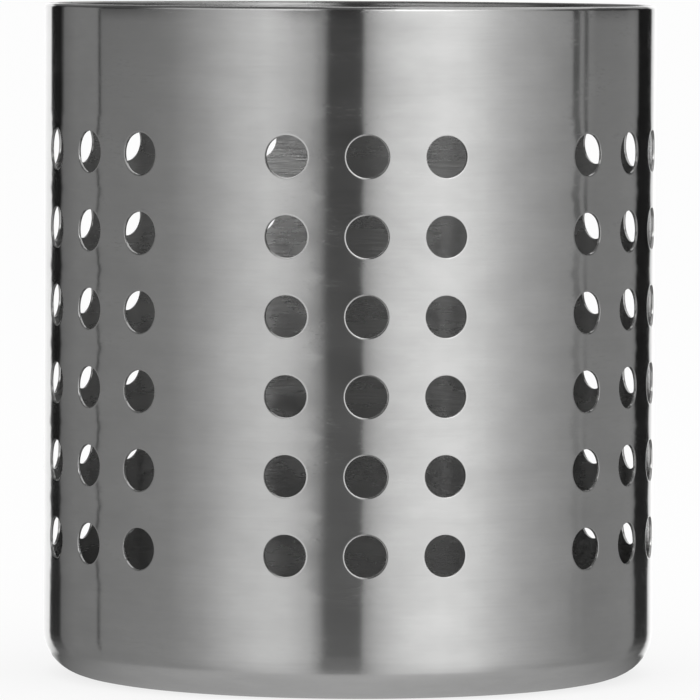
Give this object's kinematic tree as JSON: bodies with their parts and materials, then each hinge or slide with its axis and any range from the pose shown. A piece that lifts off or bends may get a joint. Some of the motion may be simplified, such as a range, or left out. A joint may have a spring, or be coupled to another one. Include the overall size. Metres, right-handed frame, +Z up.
{
  "type": "utensil holder",
  "caption": "Round upright utensil holder in brushed stainless sheet, open at the top, with groups of round holes in its wall and drain holes in its base.",
  "frame": {"origin": "centre of the foot, on the surface that the holder stands on", "axes": "+Z up along the cylinder's axis; -Y is the front, where the middle column of one group of holes is centred; +X to the right seen from the front"},
  "size_m": [0.12, 0.12, 0.1315],
  "materials": {
    "brushed_sheet": "stainless sheet brushed round the body",
    "ground_weld": "weld ground flush and brushed over"
  },
  "bodies": {
    "root": {"wall_sleeve": "brushed_sheet", "side_seam_weld": "ground_weld", "base_pan": "brushed_sheet", "base_weld": "ground_weld"}
  },
  "joints": []
}
